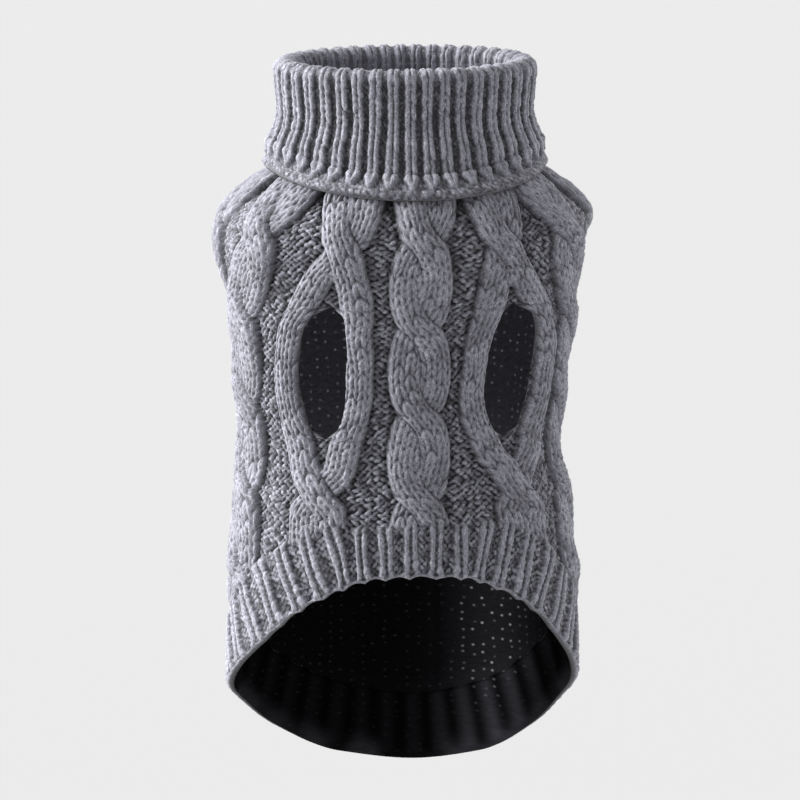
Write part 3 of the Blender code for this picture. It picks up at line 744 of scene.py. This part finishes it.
def collar_place(turn, share, cloth):
    """Point of the folded collar, cloth mm out from its hidden side."""
    angle = np.radians(rib_angle(turn, COLLAR_RIBS, COLLAR_START, COLLAR_EVENING))
    dip = -COLLAR_FRONT_DIP * np.clip(np.cos(angle), 0.0, 1.0) ** COLLAR_DIP_NARROWNESS
    low, rim, turned, end = COLLAR_SHARES

    def spot(share):
        height = FOLD_HEIGHT * np.clip(share / rim, 0.0, 1.0)
        height = height + dip * read_table(DIP_ROWS, "share", height)
        bend = math.pi * np.clip((share - rim) / (turned - rim), 0.0, 1.0)
        middle = COLLAR_INNER_HALF_WIDTH + FOLD_RADIUS
        drop = np.clip((share - turned) / (end - turned), 0.0, 1.0)
        rolled_width = middle + FOLD_RADIUS * np.cos(bend)
        rolled_height = (FOLD_HEIGHT + FOLD_RADIUS * np.sin(bend)
                         - (FOLD_HEIGHT - NECK_SEAM) * drop)
        outside = share < rim
        return (np.where(outside, read_table(COLLAR_ROWS, "half_width", height), rolled_width),
                np.where(outside, height, rolled_height),
                np.where(outside, read_table(COLLAR_ROWS, "depth", height), COLLAR_DEPTH))

    half_width, height, depth = spot(share)
    before, after = spot(share - 0.004), spot(share + 0.004)
    wide, up = after[0] - before[0], after[1] - before[1]
    length = np.hypot(wide, up)
    out_wide, out_up = up / length, -wide / length
    half_depth = depth * half_width
    across = stack(half_depth * np.sin(angle), -half_width * np.cos(angle), 0.0)
    across = across / np.linalg.norm(across, axis=-1, keepdims=True)
    place = stack(half_width * np.sin(angle), -half_depth * np.cos(angle), height)
    facing = across * out_wide[..., None] + stack(0.0, 0.0, out_up)
    return place + facing * cloth[..., None]


# ---- wall making
Sheet = namedtuple("Sheet", "thing column row side")


def grid_spots(thing, columns, rows):
    spots = np.empty(3 * len(thing.data.vertices))
    thing.data.vertices.foreach_get("co", spots)
    spots = spots.reshape(-1, 3)
    across, down = 0.5 * (spots[:, 0] + 1.0), 0.5 * (1.0 - spots[:, 1])
    return np.round(across * columns), np.round(down * rows)


def flat_sheet(columns, rows, slits=()):
    """A flat grid, cut open along its slits, with each point's column, row and slit side."""
    bpy.ops.object.select_all(action="DESELECT")
    bpy.ops.mesh.primitive_grid_add(x_subdivisions=columns, y_subdivisions=rows, size=2.0)
    thing = bpy.context.object
    mesh = thing.data
    column, row = grid_spots(thing, columns, rows)
    side = np.zeros_like(column)
    if slits:
        ends = np.empty(2 * len(mesh.edges), dtype=np.int64)
        mesh.edges.foreach_get("vertices", ends)
        a, b = ends.reshape(-1, 2).T
        chosen = np.zeros(len(mesh.edges), dtype=bool)
        for at, first, last in slits:
            chosen |= ((column[a] == at) & (column[b] == at)
                       & (np.minimum(row[a], row[b]) >= first)
                       & (np.maximum(row[a], row[b]) <= last))
        bpy.context.tool_settings.mesh_select_mode = (False, True, False)
        bpy.ops.object.mode_set(mode="EDIT")
        bpy.ops.mesh.select_all(action="DESELECT")
        bpy.ops.object.mode_set(mode="OBJECT")
        mesh.edges.foreach_set("select", chosen)
        bpy.ops.object.mode_set(mode="EDIT")
        bpy.ops.mesh.edge_split(type="EDGE")
        bpy.ops.object.mode_set(mode="OBJECT")
        column, row = grid_spots(thing, columns, rows)
        side = np.zeros_like(column)
        corners = np.empty(len(mesh.loops), dtype=np.int64)
        mesh.loops.foreach_get("vertex_index", corners)
        face_middle = column[corners].reshape(-1, 4).mean(axis=1)
        total = np.zeros_like(column)
        count = np.zeros_like(column)
        np.add.at(total, corners, np.repeat(face_middle, 4))
        np.add.at(count, corners, 1.0)
        for at, first, last in slits:
            open_here = (column == at) & (row > first) & (row < last)
            side[open_here] = np.sign(total / count - column)[open_here]
    return Sheet(thing, column, row, side)


def border_runs(columns, rows, slits, closed):
    """Every free edge of a sheet, as rows of (column, row, side)."""
    runs = [[(c, 0, 0) for c in range(columns + 1)], [(c, rows, 0) for c in range(columns + 1)]]
    if not closed:
        runs += [[(0, r, 0) for r in range(rows + 1)], [(columns, r, 0) for r in range(rows + 1)]]
    for at, first, last in slits:
        for side in (-1, 1):
            runs.append([(at, r, side if first < r < last else 0)
                         for r in range(first, last + 1)])
    return runs


def stitch_edge(shape, fine, coarse):
    """Close the rim between a fine row of points and a coarse one with the same ends."""
    ratio = (len(fine) - 1) // (len(coarse) - 1)
    half = ratio // 2
    for k in range(len(coarse) - 1):
        for j in range(ratio):
            anchor = coarse[k] if j < half else coarse[k + 1]
            shape.faces.new((fine[k * ratio + j], fine[k * ratio + j + 1], anchor))
        shape.faces.new((coarse[k], fine[k * ratio + half], coarse[k + 1]))


def knit_wall(name, size, strides, outside, inside, materials, slits=(), closed=False):
    """One knitted piece: a fine outside over a plain inside, its edges sewn together.

    outside and inside take columns, rows and slit sides of the fine sheet and give points in
    mm and the Cloth there.
    """
    columns, rows = size
    outer = flat_sheet(columns, rows, slits)
    coarse_slits = [(c // strides[0], a // strides[1], b // strides[1]) for c, a, b in slits]
    inner = flat_sheet(columns // strides[0], rows // strides[1], coarse_slits)
    outer_points, cloth = outside(outer.column, outer.row, outer.side)
    inner_points, lining = inside(inner.column * strides[0], inner.row * strides[1], inner.side)

    shape = bmesh.new()
    shape.from_mesh(outer.thing.data)
    fine_faces = len(shape.faces)
    shape.from_mesh(inner.thing.data)
    shape.verts.ensure_lookup_table()
    shape.faces.ensure_lookup_table()
    for face in shape.faces[fine_faces:]:
        face.material_index = 1
        face.normal_flip()
    offset = len(outer.column)
    names = ({}, {})
    for sheet, found, start in ((outer, names[0], 0), (inner, names[1], offset)):
        for i, key in enumerate(zip(sheet.column, sheet.row, sheet.side)):
            found[key] = shape.verts[start + i]
    fine_runs = border_runs(columns, rows, slits, closed)
    coarse_runs = border_runs(columns // strides[0], rows // strides[1], coarse_slits, closed)
    for fine, coarse in zip(fine_runs, coarse_runs):
        stitch_edge(shape, [names[0][key] for key in fine], [names[1][key] for key in coarse])
    shape.to_mesh(outer.thing.data)
    shape.free()
    bpy.data.objects.remove(inner.thing, do_unlink=True)

    piece = outer.thing
    piece.name = name
    mesh = piece.data
    mesh.name = name
    points = np.concatenate((outer_points, inner_points)) * MM
    mesh.vertices.foreach_set("co", points.ravel())
    lit, luck, across, along = (np.concatenate((getattr(cloth, field), getattr(lining, field)))
                                for field in ("lit", "luck", "across", "along"))
    # the knit attribute carries the painted light and shade in red, and the draw or the painted
    # pinhole glow share in green
    knit = mesh.attributes.new("knit", "FLOAT_COLOR", "POINT")
    colours = np.stack((lit, luck, np.zeros_like(lit), np.ones_like(lit)), axis=-1)
    knit.data.foreach_set("color", colours.ravel())
    for layer in list(mesh.uv_layers):
        mesh.uv_layers.remove(layer)
    yarn = mesh.uv_layers.new(name="yarn")
    corners = np.empty(len(mesh.loops), dtype=np.int64)
    mesh.loops.foreach_get("vertex_index", corners)
    yarn.data.foreach_set("uv", np.stack((across, along), axis=-1)[corners].ravel())

    bpy.ops.object.select_all(action="DESELECT")
    piece.select_set(True)
    bpy.context.view_layer.objects.active = piece
    bpy.ops.object.mode_set(mode="EDIT")
    bpy.ops.mesh.select_all(action="SELECT")
    if closed:
        bpy.ops.mesh.remove_doubles(threshold=0.00001)
    bpy.ops.mesh.normals_make_consistent(inside=False)
    bpy.ops.mesh.select_all(action="DESELECT")
    bpy.ops.object.mode_set(mode="OBJECT")
    bpy.ops.object.shade_smooth()
    for material in materials:
        mesh.materials.append(material)
    return piece


def plain_side(across, along, light=0.0, pinhole_glow=0.0):
    """Cloth of a plain inner face: its painted light and shade, and how much painted pinhole glow
    shows.
    """
    same = np.zeros_like(across)
    return Cloth(None, same + light, same + pinhole_glow, across, along)


def inner_light(angle, height):
    """Painted light on the inner face, which is otherwise left in painted shade: some through the
    leg openings, some from the hem; and how much painted pinhole glow shows.
    """
    above = ramp(height, -150.0, -112.0)
    loin = angle % 360.0 - 142.0
    beside = bell((loin + 1.0) / 17.0)
    thin = bell((loin / 12.5) ** 2) * bell(((height + 198.0) / 26.0) ** 2)
    return (0.010 + 0.45 * above + 0.10 * beside * (1.0 - above),
            0.03 + 0.97 * np.maximum(thin, 0.27 * above))


def wall_thickness(angle, height):
    """Thickness of the body's wall, which thins towards the edges of the leg openings."""
    nearest = np.full_like(angle, 99.0)
    for name in ("left", "right"):
        low, high = hole_sides(height, name)
        beside = np.maximum(np.maximum(low - angle, angle - high), 0.0)
        beside = beside * mm_per_degree(angle, height)
        beyond = np.maximum(np.maximum(height - HOLE_TOP, HOLE_BOTTOM - height), 0.0)
        nearest = np.minimum(nearest, np.hypot(beside, beyond))
    return HOLE_WALL + (KNIT_WALL - HOLE_WALL) * ramp(nearest, 1.0, 8.0)


def body_inside(angle, height):
    # the wall stands a little further in under the gathers, where its ground is drawn in
    wall = wall_thickness(angle, height) + 0.9 * ramp(height, *GATHERS)
    points = ground_point(angle, height) - ground_normal(angle, height) * wall[..., None]
    return points, plain_side(angle * MM_PER_DEGREE, height, *inner_light(angle, height))


def fuzz(first, second):
    """Unevenness of loose fibres, in mm, different at each point."""
    return FUZZ * (draw(first, second, 21.0) - 0.5)


def body_outside(angle, height):
    cloth = with_loops(body_cloth(angle, height), angle, height)
    points = ground_point(angle, height)
    relief = cloth.relief + fuzz(angle, height)
    return points + ground_normal(angle, height) * relief[..., None], cloth


# ---- materials
def linear(code):
    """Colour of an sRGB hex code, as linear light with full alpha."""
    channels = [int(code[i:i + 2], 16) / 255.0 for i in (1, 3, 5)]
    return tuple(c / 12.92 if c <= 0.04045 else ((c + 0.055) / 1.055) ** 2.4
                 for c in channels) + (1.0,)


def fill(node, inputs):
    """Link or set inputs of a node."""
    for key, value in inputs.items():
        if isinstance(value, bpy.types.NodeSocket):
            node.id_data.links.new(value, node.inputs[key])
        else:
            node.inputs[key].default_value = value


def add_node(material, kind, inputs=None, **settings):
    """Add a shader node with its settings and inputs."""
    node = material.node_tree.nodes.new("ShaderNode" + kind)
    for key, value in settings.items():
        setattr(node, key, value)
    fill(node, inputs or {})
    return node


def blank_material(name):
    """A new material, its shader, and a function that adds a node to it."""
    material = bpy.data.materials.new(name)
    material.use_nodes = True
    return material, material.node_tree.nodes["Principled BSDF"], partial(add_node, material)


def cloth_data(add):
    """What the mesh tells a material: painted light and shade, draw, and place across and along
    the yarn.
    """
    knit = add("Attribute", attribute_name="knit")
    parts = add("SeparateColor", {"Color": knit.outputs["Color"]})
    yarn_map = add("UVMap", uv_map="yarn")
    return parts.outputs["Red"], parts.outputs["Green"], yarn_map.outputs["UV"]


def wool_blend_yarn(name, yarn, pale, dark):
    """Spun wool and acrylic, heathered from pale and dark fibres: matt, slightly hairy."""
    material, shader, add = blank_material(name)
    light, luck, yarn_place = cloth_data(add)
    place = add("TexCoord").outputs["Object"]
    # fibres lie along the yarn: 0.35 mm across it, 2 mm along it
    along_yarn = add("Mapping", {"Vector": yarn_place, "Scale": (2.8, 0.5, 1.0)})
    fibres = add("TexNoise", {"Vector": along_yarn.outputs["Vector"], "Scale": 1.0,
                              "Detail": 3.0, "Roughness": 0.7}).outputs["Fac"]
    # tufts of fibres are about 0.8 mm long
    tufts = add("TexNoise", {"Vector": place, "Scale": 1300.0, "Detail": 3.0,
                             "Roughness": 0.7}).outputs["Fac"]
    # patches of about 36 mm are a little more or less worn
    worn = add("TexNoise", {"Vector": place, "Scale": 28.0, "Detail": 2.0}).outputs["Fac"]

    colour = linear(yarn)
    for noise, low, high, most, other in ((fibres, 0.49, 0.66, 1.0, pale),
                                          (tufts, 0.50, 0.64, 0.80, dark)):
        share = add("MapRange", {"Value": noise, "From Min": low, "From Max": high,
                                 "To Max": most})
        colour = add("Mix", {0: share.outputs["Result"], 6: colour, 7: linear(other)},
                     data_type="RGBA").outputs[2]
    # painted shade: the colour is scaled by the mesh's painted light, low in the gaps, and also by
    # each stitch's draw and the patches of wear
    shade = 1.0
    for value, low, high, least, most in (
            (light, 0.05, 0.85, 0.04, 1.0),     # hardly any light in the gaps
            (luck, 0.0, 1.0, 0.86, 1.12),       # no two stitches are alike
            (worn, 0.3, 0.7, 0.93, 1.06)):
        level = add("MapRange", {"Value": value, "From Min": low, "From Max": high,
                                 "To Min": least, "To Max": most})
        shade = add("Math", {0: shade, 1: level.outputs["Result"]},
                    operation="MULTIPLY").outputs[0]
    tinted = add("VectorMath", {0: colour, "Scale": shade}, operation="SCALE")
    bump = add("Bump", {"Height": fibres, "Strength": 0.6, "Distance": 0.00025})
    hair = add("Bump", {"Height": tufts, "Strength": 0.5, "Distance": 0.0002,
                        "Normal": bump.outputs["Normal"]})
    fill(shader, {"Base Color": tinted.outputs["Vector"], "Normal": hair.outputs["Normal"],
                  "Roughness": 0.92, "IOR": 1.5, "Specular IOR Level": 0.25,
                  "Sheen Weight": 0.18, "Sheen Roughness": 0.5})
    return material


def inner_face_yarn(name, yarn, glow_colour):
    """The purl side in the hollow, in painted shade, with a painted pinhole glow where light comes
    through the knit.
    """
    material, shader, add = blank_material(name)
    light, pinhole_glow_share, yarn_place = cloth_data(add)
    # painted shade: the yarn colour runs to black where the mesh's painted light is low
    painted_shade = add("Mix", {0: light, 6: linear("#000000"), 7: linear(yarn)}, data_type="RGBA")
    # one stitch is 4.4 mm by 3.4 mm
    stitches = add("Mapping", {"Vector": yarn_place,
                               "Scale": (1 / 4.4, 1 / 3.4, 1.0)}).outputs["Vector"]
    cells = add("TexVoronoi", {"Vector": stitches, "Scale": 1.0, "Randomness": 0.45},
                voronoi_dimensions="2D")
    # painted glow: a spot in each stitch, stronger in some by chance, emits light, though the mesh
    # is not open there
    glow_spot = add("MapRange", {"Value": cells.outputs["Distance"], "From Min": 0.04,
                            "From Max": 0.20, "To Min": 1.0, "To Max": 0.0})
    tone = add("SeparateColor", {"Color": cells.outputs["Color"]})
    chance = add("MapRange", {"Value": tone.outputs["Red"], "From Min": 0.20, "From Max": 1.0})
    glow = glow_spot.outputs["Result"]
    for factor in (chance.outputs["Result"], pinhole_glow_share, 0.8):
        glow = add("Math", {0: glow, 1: factor}, operation="MULTIPLY").outputs[0]
    purl = add("TexNoise", {"Vector": stitches, "Scale": 1.6, "Detail": 2.0})
    bump = add("Bump", {"Height": purl.outputs["Fac"], "Strength": 0.8, "Distance": 0.0010})
    fill(shader, {"Base Color": painted_shade.outputs[2], "Normal": bump.outputs["Normal"],
                  "Emission Color": linear(glow_colour), "Emission Strength": glow,
                  "Roughness": 0.95, "Specular IOR Level": 0.02})
    return material


YARN = wool_blend_yarn("grey_wool_blend_yarn", "#868690", "#B9B9C3", "#5C5C65")
# the hollow's yarn, in painted shade, with a pale painted pinhole glow
INNER_YARN = inner_face_yarn("inner_face_yarn", "#868690", "#A0A0A8")


# ---- pieces
def dress(piece, node):
    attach(piece, "root")
    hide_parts(node)


def body_wall(name, size, strides, place, slits=()):
    return knit_wall(name, size, strides, lambda *spot: body_outside(*place(*spot)),
                     lambda *spot: body_inside(*place(*spot)), (YARN, INNER_YARN), slits=slits)


def belly():
    across, down = BELLY_CELL
    columns = across * 2 * (BELLY_SIDE_COLUMNS + BELLY_MIDDLE_COLUMNS)
    rows = down * sum(BELLY_ROWS)
    first_row = down * BELLY_ROWS[0]
    last_row = first_row + down * BELLY_ROWS[1]
    slits = [(column, first_row, last_row)
             for column in (across * BELLY_SIDE_COLUMNS, columns - across * BELLY_SIDE_COLUMNS)]
    return body_wall("belly_knit", (columns, rows), BELLY_CELL,
                     lambda column, row, side: belly_place(column / across, row / down, side),
                     slits)


def back(name, columns, start, end):
    rows = BACK_ROWS
    return body_wall(name, (columns, rows), BACK_CELL,
                     lambda column, row, _: back_place(column / columns, row / rows, start, end))


def hem():
    per_rib = 26
    columns, rows = per_rib * HEM_RIBS, 80

    def outside(column, row, _):
        turn = column / per_rib
        angle, height, left = hem_place(turn, row / rows)
        cloth = with_loops(hem_cloth(turn, angle, height, left), angle, height)
        relief = cloth.relief + fuzz(column % columns, row)
        points = ground_point(angle, height)
        return points + ground_normal(angle, height) * relief[..., None], cloth

    def inside(column, row, _):
        turn = column / per_rib
        angle, height, left = hem_place(turn, row / rows)
        hollow = 0.5 * np.cos(math.tau * turn) * ramp(left, 0.5, 4.0)
        points = ground_point(angle, height)
        wall = KNIT_WALL + hollow - 1.2 * (1.0 - ramp(left, 0.0, 6.0))
        light, pinhole_glow = inner_light(angle, height)
        # painted light: some comes in under the edge, in patches, and the inner face is painted
        # darker where its wall is thicker
        patch = np.clip(0.5 + sway(turn / HEM_RIBS, 2.0), 0.0, 1.0)
        light = light * (1.1 - 1.6 * hollow) + 0.07 * patch * (1.0 - ramp(left, 0.0, 11.0))
        return (points - ground_normal(angle, height) * wall[..., None],
                plain_side(turn * HEM_PITCH, height, light, 0.5 * pinhole_glow))

    return knit_wall("hem_rib_knit", (columns, rows), (2, 4), outside, inside,
                     (YARN, INNER_YARN), closed=True)


def collar():
    per_rib = 16
    columns, rows = per_rib * COLLAR_RIBS, 140
    every_turn, every_share = np.meshgrid(np.arange(columns + 1) / per_rib,
                                          np.arange(rows + 1) / rows, indexing="ij")
    middle = collar_place(every_turn, every_share, np.full_like(every_turn, COLLAR_WALL))
    steps = np.linalg.norm(np.diff(middle, axis=1), axis=-1)
    lengths = np.concatenate((np.zeros((columns + 1, 1)), np.cumsum(steps, axis=1)), axis=1)

    def outside(column, row, _):
        turn, share = column / per_rib, row / rows
        over_edge = lengths[column.astype(int), row.astype(int)]
        cloth = collar_cloth(turn, over_edge, ramp(share, COLLAR_SHARES[1] - 0.03,
                                                   COLLAR_SHARES[1] + 0.05))
        relief = cloth.relief + fuzz(column % columns, row)
        return collar_place(turn, share, COLLAR_WALL + relief), cloth

    def inside(column, row, _):
        turn, share = column / per_rib, row / rows
        # painted shade on the hidden inner face, with painted light near its lower edge
        light = 0.45 * (1.0 - ramp(share, 0.0, 0.1))
        return (collar_place(turn, share, np.zeros_like(turn)),
                plain_side(turn * COLLAR_PITCH, share * COLLAR_LENGTH, light))

    return knit_wall("collar_rib_knit", (columns, rows), (16, 10), outside, inside,
                     (YARN, YARN), closed=True)


dress(belly(), "belly_panel")
dress(back("back_knit_left", 200, None, PARTING), "back_panel")
dress(back("back_knit_right", 260, PARTING, None), "back_panel")
dress(hem(), "hem_rib")
dress(collar(), "collar")


# ---- stage
def studio():
    bpy.ops.object.select_all(action="DESELECT")
    bpy.ops.mesh.primitive_plane_add(size=80.0, location=(0.0, 0.0, -0.9))
    floor = bpy.context.object
    floor.name = "floor"
    paint, shader, _ = blank_material("matt_floor_paint")
    fill(shader, {"Base Color": linear("#B1B1B1"), "Roughness": 0.95})
    floor.data.materials.append(paint)

    world = bpy.data.worlds.new("soft_surround")
    world.use_nodes = True
    fill(world.node_tree.nodes["Background"], {"Color": linear("#E9E9E9"), "Strength": 0.70})
    bpy.context.scene.world = world

    # two wide soft lights to the sides and a little behind, so that both flanks are picked out
    for name, energy, towards in (("left_softbox", 8.7, (-0.95, 0.22, 0.42)),
                                  ("right_softbox", 2.6, (0.90, 0.62, 0.08))):
        light = bpy.data.lights.new(name, "SUN")
        light.energy = energy
        light.angle = math.radians(50.0)
        lamp = bpy.data.objects.new(name, light)
        bpy.context.scene.collection.objects.link(lamp)
        lamp.rotation_euler = Vector(towards).to_track_quat("Z", "Y").to_euler()


def place_camera():
    azimuth, elevation, distance = math.radians(-6.5), math.radians(9.2), 6.0
    back_to = Vector((math.sin(azimuth) * math.cos(elevation),
                      -math.cos(azimuth) * math.cos(elevation), math.sin(elevation)))
    turn = back_to.to_track_quat("Z", "Y")
    right, up = turn @ Vector((1.0, 0.0, 0.0)), turn @ Vector((0.0, 1.0, 0.0))
    target = Vector((0.0, 0.0, -0.1)) - right * 0.0020 + up * 0.0048
    lens = bpy.data.cameras.new("camera")
    lens.sensor_width = 36.0
    lens.lens = 675.0
    lens.clip_end = 100.0
    camera = bpy.data.objects.new("camera", lens)
    camera.location = target + back_to * distance
    camera.rotation_euler = turn.to_euler()
    bpy.context.scene.collection.objects.link(camera)
    bpy.context.scene.camera = camera


studio()
place_camera()
bpy.context.scene.view_settings.view_transform = "Standard"
